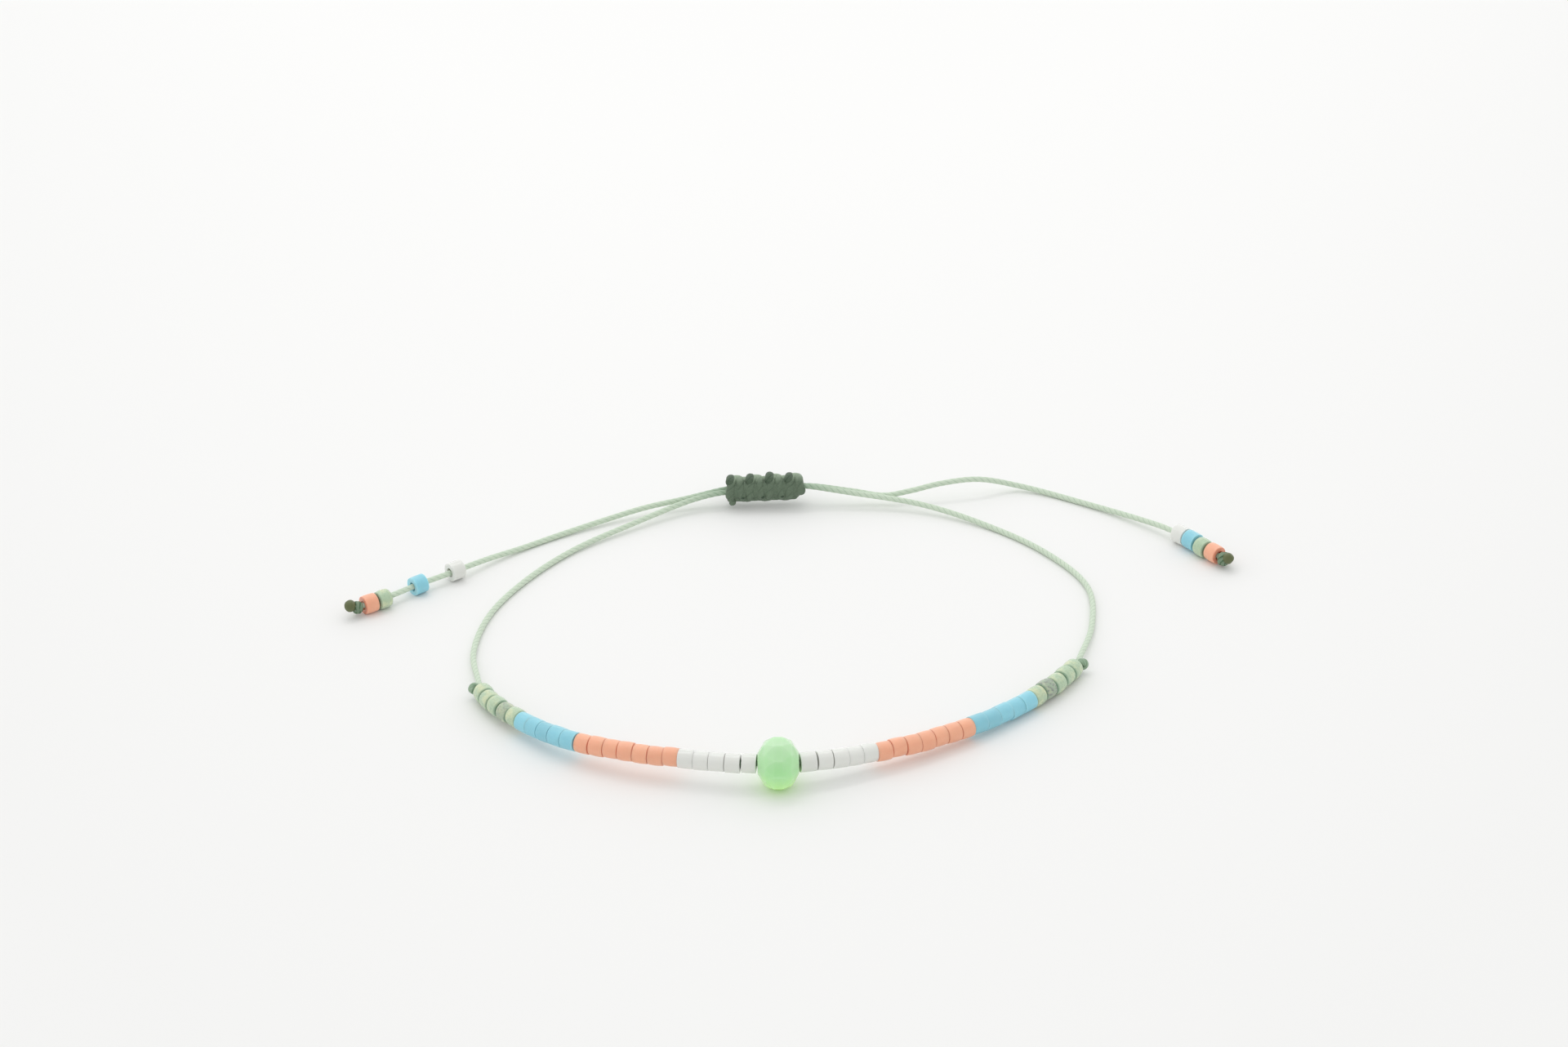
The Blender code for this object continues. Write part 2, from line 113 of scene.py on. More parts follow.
# Tail: reach of the knot's wraps, then the melted end's place beyond its middle and above it, and its width
END_KNOT_FORMS = {
    "left": (0.32 * MM, 0.66 * MM, 0.36 * MM, 1.0 * MM),
    "right": (0.40 * MM, 0.56 * MM, 0.32 * MM, 0.98 * MM),
}

# Heights of the cord's middle line where it lies, is strung with beads, or is carried by something
CORD_SEAT = CORD_DIAMETER / 2
BEAD_SEAT = BEAD_DIAMETER / 2
RONDELLE_SEAT = RONDELLE_DIAMETER / 2 * math.cos(math.pi / RONDELLE_FACETS)
SLIDER_SEAT = SLIDER_MIDDLE.z

# The bracelet's route from the slider's left end round the front to its right end.
# Columns: x and y in millimetres, low seat, high seat, share of the rise from low to high
RING_ROUTE = (
    (-7.2, 22.4, CORD_SEAT, SLIDER_SEAT, 0.62),
    (-10.8, 20.2, CORD_SEAT, SLIDER_SEAT, 0.34),
    (-15.0, 17.75, CORD_SEAT, SLIDER_SEAT, 0.10),
    (-20.4, 12.05, CORD_SEAT, SLIDER_SEAT, 0.02),
    (-24.15, 5.5, CORD_SEAT, SLIDER_SEAT, 0.01),
    (-25.5, -0.45, CORD_SEAT, SLIDER_SEAT, 0.03),
    (-25.15, -4.6, CORD_SEAT, BEAD_SEAT, 0.45),
    (-24.38, -8.8, BEAD_SEAT, RONDELLE_SEAT, 0.1),
    (-21.05, -13.7, BEAD_SEAT, RONDELLE_SEAT, 0.33),
    (-16.45, -17.8, BEAD_SEAT, RONDELLE_SEAT, 0.71),
    (-9.2, -20.7, BEAD_SEAT, RONDELLE_SEAT, 0.93),
    (-0.25, -22.15, RONDELLE_SEAT, RONDELLE_SEAT, 0.0),
    (8.4, -19.5, BEAD_SEAT, RONDELLE_SEAT, 0.54),
    (15.45, -15.5, BEAD_SEAT, RONDELLE_SEAT, 0.24),
    (20.45, -11.2, BEAD_SEAT, RONDELLE_SEAT, 0.08),
    (24.15, -6.4, BEAD_SEAT, RONDELLE_SEAT, 0.01),
    (25.5, -1.6, CORD_SEAT, BEAD_SEAT, 0.35),
    (26.4, 3.2, CORD_SEAT, SLIDER_SEAT, 0.03),
    (25.7, 9.4, CORD_SEAT, SLIDER_SEAT, 0.01),
    (22.15, 14.45, CORD_SEAT, SLIDER_SEAT, 0.02),
    (17.3, 18.9, CORD_SEAT, SLIDER_SEAT, 0.06),
    (10.5, 22.1, CORD_SEAT, SLIDER_SEAT, 0.52),
    (6.2, 22.6, CORD_SEAT, SLIDER_SEAT, 0.84),
)

# The tails' routes from the slider outward, with the same columns
LEFT_TAIL_ROUTE = (
    (-7.9, 22.85, CORD_SEAT, SLIDER_SEAT, 0.50),
    (-11.5, 21.75, CORD_SEAT, SLIDER_SEAT, 0.34),
    (-15.0, 20.2, CORD_SEAT, SLIDER_SEAT, 0.14),
    (-19.0, 17.95, CORD_SEAT, SLIDER_SEAT, 0.02),
    (-22.0, 15.9, CORD_SEAT, BEAD_SEAT, 0.08),
    (-24.7, 13.8, CORD_SEAT, BEAD_SEAT, 0.55),
    (-26.6, 12.05, CORD_SEAT, BEAD_SEAT, 0.99),
    (-28.2, 10.8, CORD_SEAT, BEAD_SEAT, 1.04),
    (-30.6, 9.15, CORD_SEAT, BEAD_SEAT, 1.01),
    (-33.5, 6.85, CORD_SEAT, BEAD_SEAT, 1.04),
    (-36.6, 4.9, CORD_SEAT, BEAD_SEAT, 1.02),
)
RIGHT_TAIL_ROUTE = (
    (6.6, 23.2, CORD_SEAT, SLIDER_SEAT, 0.68),
    (9.3, 23.0, CORD_SEAT, SLIDER_SEAT, 0.42),
    (11.6, 23.15, CORD_SEAT, SLIDER_SEAT, 0.65),
    (14.3, 23.6, CORD_SEAT, SLIDER_SEAT, 0.96),
    (17.5, 24.2, CORD_SEAT, SLIDER_SEAT, 0.96),
    (21.2, 24.8, CORD_SEAT, SLIDER_SEAT, 0.18),
    (27.4, 21.5, CORD_SEAT, BEAD_SEAT, 0.08),
    (31.5, 18.35, CORD_SEAT, BEAD_SEAT, 0.6),
    (33.35, 16.6, CORD_SEAT, BEAD_SEAT, 0.97),
    (35.2, 14.6, CORD_SEAT, BEAD_SEAT, 1.04),
    (37.4, 11.8, CORD_SEAT, BEAD_SEAT, 1.02),
    (39.8, 8.9, CORD_SEAT, BEAD_SEAT, 0.88),
)

# From the rondelle outward: colour, beads on each side, gap between the solids on the left and on the right
STRING_PATTERN = (
    ("white", 5, 0.04 * MM, 0.05 * MM),
    ("coral", 7, 0.03 * MM, 0.05 * MM),
    ("blue", 5, 0.03 * MM, 0.12 * MM),
    ("sage", 5, 0.03 * MM, 0.08 * MM),
)
TAIL_PATTERN = ("white", "blue", "sage", "coral")

# Colour: radius of the rim, belly of the side, share of the diameter
BEAD_FORMS = {
    "white": (0.04 * MM, 0.01 * MM, 1.0),
    "coral": (0.08 * MM, 0.03 * MM, 1.0),
    "blue": (0.03 * MM, 0.005 * MM, 1.0),
    "sage": (0.18 * MM, 0.04 * MM, 1.03),
}

# Beads whose joints stand open: how far their inner and outer ends draw back, or reach on where negative
OPEN_JOINTS = {
    "bead_left_white_1": (0.0, 0.1 * MM),
    "bead_left_white_2": (0.0, 0.04 * MM),
    "bead_left_blue_3": (0.0, 0.1 * MM),
    "bead_right_white_1": (-0.14 * MM, 0.09 * MM),
    "bead_right_white_2": (0.0, 0.06 * MM),
}

# Beads grow by the gap at their joints and this much more, which closes them on the outer side of the curve
JOINT_FILL = 0.03 * MM
BEAD_BORE = 0.8 * MM
BEAD_SEGMENTS = 36
RIM_STEPS = 6
SIDE_STEPS = 6
BEAD_SHARP_ANGLE = math.radians(40.0)

# Sage beads whose lustre has worn to grey, and how far
WORN_BEADS = {"bead_left_sage_2": 1.3, "bead_right_sage_2": 1.6}


class Route:
    """A smooth curve through chosen points, read by distance along it."""

    def __init__(self, points, samples=24):
        padded = [2 * points[0] - points[1], *points, 2 * points[-1] - points[-2]]
        self.points = []
        for i in range(1, len(padded) - 2):
            for k in range(samples):
                self.points.append(catmull_rom(padded[i - 1:i + 3], k / samples))
        self.points.append(points[-1])
        self.distances = [0.0]
        for a, b in zip(self.points, self.points[1:]):
            self.distances.append(self.distances[-1] + (b - a).length)
        self.length = self.distances[-1]

    def at(self, distance):
        for i in range(len(self.points) - 1):
            if distance <= self.distances[i + 1] or i == len(self.points) - 2:
                span = self.distances[i + 1] - self.distances[i]
                return self.points[i].lerp(self.points[i + 1], (distance - self.distances[i]) / span)

    def along(self, distance):
        return (self.at(distance + CORD_DIAMETER) - self.at(distance - CORD_DIAMETER)).normalized()

    def between(self, start, end, step):
        count = max(2, round(abs(end - start) / step))
        return [self.at(start + (end - start) * i / count) for i in range(count + 1)]

    def nearest(self, spot):
        """The distance at which the curve passes closest to a spot."""
        best = (math.inf, 0.0)
        for i, (a, b) in enumerate(zip(self.points, self.points[1:])):
            span = b - a
            share = min(1.0, max(0.0, (spot - a).dot(span) / span.length_squared))
            best = min(best, ((a + span * share - spot).length, self.distances[i] + span.length * share))
        return best[1]


def blended(a, b, low, high, value):
    return a.lerp(b, (value - low) / (high - low))


def catmull_rom(four, t):
    """Centripetal Catmull-Rom curve between the second and third of four points."""
    knots = [0.0]
    for a, b in zip(four, four[1:]):
        knots.append(knots[-1] + (b - a).length ** 0.5)
    value = knots[1] + (knots[2] - knots[1]) * t
    first = [blended(four[i], four[i + 1], knots[i], knots[i + 1], value) for i in range(3)]
    second = [blended(first[i], first[i + 1], knots[i], knots[i + 2], value) for i in range(2)]
    return blended(second[0], second[1], knots[1], knots[2], value)


def route_points(table):
    return [Vector((x * MM, y * MM, low + (high - low) * share)) for x, y, low, high, share in table]


def bead_place(node, route):
    """A drilled bead's middle, heading, length and distance on its cord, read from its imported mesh."""
    low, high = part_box(node)
    middle = (low + high) / 2
    distance = route.nearest(middle)
    heading = route.along(distance)
    spots = [vertex.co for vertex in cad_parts[node].data.vertices]
    length = 2 * max((spot - middle).dot(heading) for spot in spots)
    return middle, heading, length, distance


def slider_points(base_angle):
    """The way of one cord through the slider from left to right, half a pair's spacing off its axis."""
    points = []
    for i in range(5):
        share = i / 4
        angle = base_angle + PAIR_ANGLE_LEFT + (PAIR_ANGLE_RIGHT - PAIR_ANGLE_LEFT) * share
        offset = Vector((0.0, math.cos(angle), math.sin(angle))) * (CORD_DIAMETER + CORD_GAP) / 2
        points.append(SLIDER_MIDDLE + SLIDER_AXIS * BAND_LENGTH * (share - 0.5) + offset)
    return points


def stop_knot_middle(side):
    """The distance along the ring of the middle of the knot that stops one side's beads."""
    outward = 1 if side == "right" else -1
    color, count, left_gap, right_gap = STRING_PATTERN[-1]
    gap = right_gap if side == "right" else left_gap
    _, _, length, distance = bead_place(f"bead_{side}_{color}_{count}", RING)
    return distance + outward * (length / 2 + gap + STOP_KNOT_LENGTH / 2)


def cord_routes():
    """Each cord's whole route, from its stop knot round its loop, through the slider and along its tail."""
    steps = 6
    reach = STOP_KNOT_LENGTH / 2 + CORD_GAP
    left = STOP_KNOTS["left"] - reach
    right = STOP_KNOTS["right"] + reach
    left_loop = [RING.at(left * (1 - i / steps)) for i in range(steps + 1)]
    right_loop = [RING.at(right + (RING.length - right) * i / steps) for i in range(steps + 1)]
    return {
        "left": Route(left_loop + slider_points(math.pi) + route_points(RIGHT_TAIL_ROUTE)),
        "right": Route(right_loop + slider_points(0.0)[::-1] + route_points(LEFT_TAIL_ROUTE)),
    }


RING = Route(route_points(RING_ROUTE))
STOP_KNOTS = {side: stop_knot_middle(side) for side in ("left", "right")}
CORDS = cord_routes()
TAIL_OF_CORD = {"left": "right", "right": "left"}


class Form:
    """Points, faces and painted values that are gathered into one mesh."""

    def __init__(self, *paints):
        self.points = []
        self.faces = []
        self.paints = {name: [] for name in paints}

    def add(self, points, faces, **values):
        """Adds points with their faces, and for each paint a value for all of them or one for each."""
        first = len(self.points)
        self.points.extend(points)
        self.faces.extend(tuple(first + i for i in face) for face in faces)
        for name, paint in self.paints.items():
            value = values[name]
            paint.extend(value if isinstance(value, list) else [value] * len(points))

    def piece(self, name, finish, node, sharp_angle=None):
        """The gathered mesh as a piece that stands for a solid and rides on the bracelet."""
        mesh = bpy.data.meshes.new(name)
        mesh.from_pydata(self.points, [], self.faces)
        mesh.shade_smooth()
        if sharp_angle is not None:
            mesh.set_sharp_from_angle(angle=sharp_angle)
        for paint, values in self.paints.items():
            mesh.attributes.new(paint, "FLOAT", "POINT").data.foreach_set("value", values)
        return placed_piece(name, mesh, finish, node)


def placed_piece(name, mesh, finish, node):
    mesh.materials.append(finish)
    made = bpy.data.objects.new(name, mesh)
    bpy.context.scene.collection.objects.link(made)
    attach(made, BODY)
    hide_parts(node)
    return made


def carried_frames(points):
    """Two directions across the line at each of its points, carried along it without twisting."""
    side = (points[1] - points[0]).orthogonal().normalized()
    for i in range(len(points)):
        heading = (points[min(i + 1, len(points) - 1)] - points[max(i - 1, 0)]).normalized()
        side = (side - heading * side.dot(heading)).normalized()
        yield side, heading.cross(side)


def add_strand(form, points, diameter, cord, shades, points_per_ply=POINTS_PER_PLY, relief=1.0):
    """A cord of twisted plies along the points, with rounded ends; shades holds a value for each point.

    Relief is how much of the grooves between its plies shows.
    """
    radius = diameter / 2
    sides = cord.plies * points_per_ply
    travelled = [0.0]
    for a, b in zip(points, points[1:]):
        travelled.append(travelled[-1] + (b - a).length)
    corners = []
    grooves = []
    shade = []
    for point, distance, tone, (side, lift) in zip(points, travelled, shades, carried_frames(points)):
        to_end = min(distance, travelled[-1] - distance) / radius
        taper = math.sqrt(max(END_TAPER, 1 - max(0.0, 1 - to_end) ** 2))
        turn = 2 * math.pi * distance / cord.twist_pitch
        for k in range(sides):
            # The groove value is painted on the mesh; the finishes darken it as painted shade.
            groove = relief * (1 - abs(math.sin(math.pi * k / points_per_ply)))
            angle = 2 * math.pi * k / sides + turn
            reach = radius * taper * (1 - cord.groove_depth * groove)
            corners.append(point + (side * math.cos(angle) + lift * math.sin(angle)) * reach)
            grooves.append(groove)
            shade.append(tone)
    faces = []
    for i in range(len(points) - 1):
        for k in range(sides):
            after = (k + 1) % sides
            faces.append((i * sides + k, i * sides + after, (i + 1) * sides + after, (i + 1) * sides + k))
    start = len(corners)
    last = (len(points) - 1) * sides
    corners.extend((points[0], points[-1]))
    grooves.extend((0.0, 0.0))
    shade.extend((shades[0], shades[-1]))
    for k in range(sides):
        after = (k + 1) % sides
        faces.append((start, after, k))
        faces.append((start + 1, last + k, last + after))
    form.add(corners, faces, groove=grooves, shade=shade)


def even_shade(points, value):
    return [value] * len(points)


def add_wraps(form, route, start, end, turns, reach, cord, diameter, shade, first_angle=0.0, shift=Vector()):
    """A strand wound round a route between two distances, or beside it, with its ends tucked in."""
    count = round(abs(turns) * WRAP_POINTS_PER_TURN)
    points = []
    for i in range(count + 1):
        share = i / count
        distance = start + (end - start) * share
        heading = route.along(distance)
        side = heading.cross(UP).normalized()
        angle = first_angle + 2 * math.pi * turns * share
        out = reach * (0.35 + 0.65 * math.sin(math.pi * share) ** 0.4)
        around = side * math.cos(angle) + side.cross(heading) * math.sin(angle)
        points.append(route.at(distance) + shift + around * out)
    add_strand(form, points, diameter, cord, even_shade(points, shade))


def add_melted_end(form, middle, diameter, heading, seed, shade):
    """A blob of cord that was melted with a flame, with a slightly lumpy skin."""
    shape = bmesh.new()
    bmesh.ops.create_icosphere(shape, subdivisions=3, radius=diameter / 2)
    drift = Vector((seed, -seed, 2 * seed))
    turn = heading.to_track_quat("Z", "Y").to_matrix()
    points = []
    for vertex in shape.verts:
        lump = 1 + 0.13 * noise.noise(vertex.co * (2.4 / diameter) + drift)
        points.append(middle + turn @ (vertex.co * lump))
    faces = [tuple(vertex.index for vertex in face.verts) for face in shape.faces]
    shape.free()
    form.add(points, faces, groove=0.0, shade=shade)


def bead_profile(length, diameter, rim, belly):
    """Half section of a drilled bead, from the bore's upper end over the outside to its lower end."""
    half = length / 2
    outer = diameter / 2 - belly
    upper = []
    for i in range(RIM_STEPS + 1):
        angle = math.pi / 2 * i / RIM_STEPS
        upper.append((outer - rim * (1 - math.sin(angle)), half - rim * (1 - math.cos(angle))))
    side = []
    for i in range(1, SIDE_STEPS):
        share = 1 - 2 * i / SIDE_STEPS
        side.append((outer + belly * (1 - share ** 2), (half - rim) * share))
    lower = [(radius, -height) for radius, height in reversed(upper)]
    return [(BEAD_BORE / 2, half), *upper, *side, *lower, (BEAD_BORE / 2, -half)]


def turned(profile, segments, place):
    """Points and faces of a closed half section turned about Z, then put in its place."""
    points = []
    for radius, height in profile:
        for k in range(segments):
            angle = 2 * math.pi * k / segments
            points.append(place @ Vector((radius * math.cos(angle), radius * math.sin(angle), height)))
    faces = []
    for row in range(len(profile)):
        below = (row + 1) % len(profile)
        for k in range(segments):
            after = (k + 1) % segments
            faces.append((
                row * segments + k, below * segments + k, below * segments + after, row * segments + after))
    return points, faces


class Socket:
    """A shader socket in an expression: each operation on it adds the Math node that works it out."""

    def __init__(self, nodes, socket):
        self.nodes = nodes
        self.socket = socket

    def math(self, operation, first, second=0.0, clamp=False):
        settings = {"operation": operation, "use_clamp": clamp}
        return self.nodes.node("ShaderNodeMath", settings, {0: first, 1: second})

    def __add__(self, other):
        return self.math("ADD", self, other)

    __radd__ = __add__

    def __sub__(self, other):
        return self.math("SUBTRACT", self, other)

    def __rsub__(self, other):
        return self.math("SUBTRACT", other, self)

    def __mul__(self, other):
        return self.math("MULTIPLY", self, other)

    __rmul__ = __mul__

    def __abs__(self):
        return self.math("ABSOLUTE", self)

    def clamped(self):
        return self.math("ADD", self, 0.0, clamp=True)

    def ramped(self, low, high):
        """0 below low and 1 above high, and a smooth step between."""
        values = {"Value": self, "From Min": low, "From Max": high}
        return self.nodes.node("ShaderNodeMapRange", {"interpolation_type": "SMOOTHSTEP"}, values)


class Nodes:
    """A node tree that grows by expressions."""

    def __init__(self, tree):
        self.tree = tree

    def node(self, kind, settings, values, output=0):
        """Adds a node of a type with its settings and its sockets' values or links."""
        made = self.tree.nodes.new(kind)
        for name, value in settings.items():
            setattr(made, name, value)
        for name, value in values.items():
            self.join(made.inputs[name], value)
        return Socket(self, made.outputs[output])

    def join(self, target, value):
        if isinstance(value, Socket):
            self.tree.links.new(value.socket, target)
        else:
            target.default_value = value

    def paint(self, name):
        return self.node("ShaderNodeAttribute", {"attribute_name": name}, {}, "Fac")

    def place(self):
        return self.node("ShaderNodeTexCoord", {}, {}, "Object")

    def coordinate(self, axis):
        return self.node("ShaderNodeSeparateXYZ", {}, {"Vector": self.place()}, axis)

    def speckle(self, size, detail=2.0):
        """Noise whose patches are about this many metres across."""
        values = {"Vector": self.place(), "Scale": 1 / size, "Detail": detail}
        return self.node("ShaderNodeTexNoise", {}, values, "Fac")

    def tint(self, share, low, high):
        """A colour between two, by a share from 0 to 1."""
        settings = {"data_type": "RGBA", "clamp_factor": True}
        return self.node("ShaderNodeMix", settings, {0: share, 6: low, 7: high}, 2)

    def relief(self, height, distance):
        values = {"Height": height, "Distance": distance, "Strength": 1.0}
        return self.node("ShaderNodeBump", {}, values, "Normal")


class Finish(Nodes):
    """A material whose constants are set straight on its shader."""

    def __init__(self, name, constants):
        self.material = bpy.data.materials.new(name)
        self.material.use_nodes = True
        super().__init__(self.material.node_tree)
        self.shader = self.tree.nodes["Principled BSDF"]
        for label, value in constants.items():
            self.shader.inputs[label].default_value = value

    def feed(self, label, value):
        self.join(self.shader.inputs[label], value)


def opaque(color, share=1.0):
    """A colour property as a socket's colour, darker by a share."""
    return (*(channel * share for channel in color), 1.0)


def glass_constants(depth, weight, coat, haze=0.08):
    """Shader constants of glass that light soaks into by about this many metres."""
    return {
        "Subsurface Weight": weight,
        "Subsurface Radius": (1.0, 1.0, 1.0),
        "Subsurface Scale": depth,
        "IOR": 1.5,
        "Coat Weight": coat,
        "Coat Roughness": haze,
    }


def white_finish(beads):
    """Glossy opaque white, each bead a slightly different shade."""
    finish = Finish("white glass", glass_constants(0.3 * MM, 0.6, 0.5))
    tone = finish.paint("tone") * 0.5 + 0.5
    finish.feed("Base Color", finish.tint(tone, opaque(beads.white, 0.96), opaque(beads.white)))
    finish.feed("Roughness", finish.speckle(0.5 * MM) * 0.1 + 0.12)
    finish.feed("Normal", finish.relief(finish.speckle(0.6 * MM), 0.02 * MM))
    return finish.material


def satin_finish(name, constants, color, painted_end_shade_and_glow, ends_from, end_share, tone_share, roughness):
    """Clouded satin glass whose ends carry a painted colour of their own: painted shade on coral, a painted
    glow on blue.
    """
    finish = Finish(name, constants)
    ends = abs(finish.paint("along")).ramped(ends_from, 1.0)
    cloud = finish.speckle(0.8 * MM) * 0.7 + finish.paint("tone") * tone_share
    body = finish.tint(cloud, opaque(color, 0.9), opaque(color, 1.06))
    # Painted light at the ends: painted shade on coral beads, a painted glow on blue beads.
    finish.feed("Base Color", finish.tint(ends * end_share, body, opaque(painted_end_shade_and_glow)))
    finish.feed("Roughness", finish.speckle(0.4 * MM) * 0.15 + roughness)
    finish.feed("Normal", finish.relief(finish.speckle(0.25 * MM), 0.012 * MM))
    return finish.material


def coral_finish(beads):
    """Satin coral with its ends painted a darker red as shade at the joints."""
    return satin_finish(
        "coral glass", glass_constants(0.35 * MM, 0.7, 0.4, 0.35), beads.coral, beads.coral_painted_joint_shade,
        ends_from=0.84, end_share=0.6, tone_share=0.25, roughness=0.3)


def blue_finish(beads):
    """Satin sky blue with a pale painted glow on its ends, so that its joints hardly show."""
    return satin_finish(
        "blue glass", glass_constants(0.35 * MM, 0.7, 0.2), beads.blue, beads.blue_painted_joint_glow,
        ends_from=0.85, end_share=0.35, tone_share=0.5, roughness=0.28)


def sage_finish(beads):
    """Sage green under a worn lustre: golden patches, fine grey specks, and darker ends that are partly the
    beads' end faces and partly painted shade in the joints.
    """
    finish = Finish("sage glass", glass_constants(0.3 * MM, 0.5, 0.3))
    ends = abs(finish.paint("along")).ramped(0.7, 1.0)
    gold = finish.speckle(0.9 * MM).ramped(0.4, 0.7)
    worn = finish.paint("tone").ramped(0.8, 1.6)
    specks = finish.speckle(0.2 * MM, 3.0).ramped(0.4, 0.65)
    lustre = finish.tint(gold * 0.85, opaque(beads.sage), opaque(beads.sage_gold))
    faded = finish.tint(worn * (0.3 + 0.65 * specks), lustre, opaque(beads.sage_worn))
    # The darker ends are partly the beads' end faces and partly painted shade in the joints.
    finish.feed("Base Color", finish.tint(ends * 0.7, faded, opaque(beads.sage_end)))
    finish.feed("Roughness", specks * 0.15 + 0.25)
    finish.feed("Normal", finish.relief(finish.speckle(0.2 * MM, 3.0), 0.02 * MM))
    return finish.material


def mint_finish(beads):
    """Cut opal glass with painted light: the top painted paler and milky as if lit, the bottom painted clear
    yellow green with a painted glow where light passing through would gather.
    """
    # Painted glow: the emission makes the rondelle's bottom glow though it is no lamp.
    finish = Finish("mint glass", {**glass_constants(1.3 * MM, 1.0, 0.4), "Emission Strength": 0.22})
    rise = finish.coordinate("Z") * (1 / RONDELLE_DIAMETER)
    cloud = finish.speckle(1.2 * MM) * 0.25 - 0.12
    # Painted light: the colour is painted paler towards the top and more saturated yellow green towards the
    # bottom.
    lower = finish.tint((rise + cloud).ramped(0.0, 0.5), opaque(beads.mint_painted_glow_bottom), opaque(beads.mint))
    finish.feed("Base Color", finish.tint((rise + cloud).ramped(0.5, 1.0), lower, opaque(beads.mint_painted_lit_top)))
    finish.feed("Roughness", finish.speckle(0.7 * MM) * 0.08 + 0.06)
    # Painted glow at the bottom, standing in for light that passes through the glass.
    painted_glow_share = (1 - rise).ramped(0.4, 1.0)
    finish.feed("Emission Color", finish.tint(painted_glow_share, opaque(beads.mint_painted_glow_bottom, 0.1), opaque(beads.mint_painted_glow_bottom)))
    return finish.material


def cord_finish(name, light, dark, fuzz):
    """Waxed twisted cord: painted shade darkens the grooves between its plies, and it is darker where it is
    shaded dark.
    """
    finish = Finish(name, {"IOR": 1.45, "Sheen Weight": 0.15, "Sheen Roughness": 0.5, "Roughness": 0.55})
    fibres = finish.speckle(fuzz, 3.0)
    # Painted shade in the grooves between the plies.
    depth = finish.paint("groove").ramped(0.25, 1.0)
    shade = (finish.paint("shade") + depth * 0.55 + fibres * 0.3 - 0.15).clamped()
    finish.feed("Base Color", finish.tint(shade, opaque(light), opaque(dark)))
    finish.feed("Normal", finish.relief(fibres, 0.02 * MM))
    return finish.material


def color_property(name, description, default):
    return bpy.props.FloatVectorProperty(
        name=name, description=description, default=default, subtype="COLOR", min=0.0, max=1.0)


class BeadSettings(bpy.types.PropertyGroup):
    """Colours and irregularity of the glass beads."""

    white: color_property("White", "Glossy white beads beside the rondelle", (0.80, 0.81, 0.77))
    coral: color_property("Coral", "Satin coral beads", (0.95, 0.47, 0.30))
    # Painted shade: the coral beads' ends are painted darker red where shade falls in the joints.
    coral_painted_joint_shade: color_property("Coral end", "Redder glass at the ends of coral beads", (0.78, 0.26, 0.17))
    blue: color_property("Blue", "Satin sky blue beads", (0.29, 0.655, 0.765))
    # Painted glow: the blue beads' ends are painted paler, standing in for light coming through the glass at
    # the joints.
    blue_painted_joint_glow: color_property("Blue end", "Pale blue of the beads' ends", (0.44, 0.76, 0.86))
    sage: color_property("Sage", "Green under the lustre", (0.46, 0.60, 0.42))
    sage_gold: color_property("Sage gold", "Golden patches of the lustre", (0.66, 0.71, 0.46))
    sage_worn: color_property("Sage worn", "Grey where the lustre has worn off", (0.24, 0.27, 0.24))
    # The sage beads' darker ends are partly their end faces and partly painted shade in the joints.
    sage_end: color_property("Sage end", "Darker blue green at the beads' ends", (0.20, 0.34, 0.24))
    mint: color_property("Mint", "Middle of the rondelle", (0.44, 0.78, 0.40))
    # The rondelle's top and bottom colours are painted light: a paler lit top and a glowing yellow green
    # bottom.
    mint_painted_lit_top: color_property("Mint top", "Milky top of the rondelle", (0.50, 0.74, 0.47))
    mint_painted_glow_bottom: color_property("Mint bottom", "Yellow green bottom of the rondelle", (0.50, 0.80, 0.30))
    size_spread: bpy.props.FloatProperty(
        name="Size spread", description="How much wider or thinner than the others a bead may be",
        default=0.025, min=0.0, max=0.05, subtype="FACTOR")
    tilt_spread: bpy.props.FloatProperty(
        name="Tilt spread", description="How far a bead may lean on its thread",
        default=math.radians(1.2), min=0.0, max=0.1, subtype="ANGLE", unit="ROTATION")
    shift_spread: bpy.props.FloatProperty(
        name="Shift spread", description="How far a bead may sit beside its thread's middle line",
        default=0.045 * MM, min=0.0, max=0.15 * MM, subtype="DISTANCE", unit="LENGTH")


class CordSettings(bpy.types.PropertyGroup):
    """Twist and colours of the cords."""

    plies: bpy.props.IntProperty(
        name="Plies", description="Strands that are twisted into the cord", default=3, min=2, max=6)
    twist_pitch: bpy.props.FloatProperty(
        name="Twist pitch", description="Length of one whole turn of the twist",
        default=1.8 * MM, min=0.5 * MM, max=10 * MM, subtype="DISTANCE", unit="LENGTH")
    groove_depth: bpy.props.FloatProperty(
        name="Groove depth", description="Depth of the grooves between plies, as a share of the radius",
        default=0.12, min=0.0, max=0.5, subtype="FACTOR")
    light: color_property("Light", "Pale sage of the cord's plies", (0.64, 0.75, 0.60))
    # The dark colour is also painted as shade into the grooves, and onto the thread inside the beads.
    dark: color_property("Dark", "Deep green in its grooves and near the knot", (0.24, 0.37, 0.24))
    knot_light: color_property("Knot light", "Plies of the knots' cord", (0.34, 0.44, 0.31))
    # The knots' dark colour is painted as shade into their grooves and onto the slider's core.
    knot_dark: color_property("Knot dark", "Grooves of the knots' cord", (0.035, 0.07, 0.035))
    melted: color_property("Melted", "Olive brown of the melted cord ends", (0.12, 0.14, 0.055))


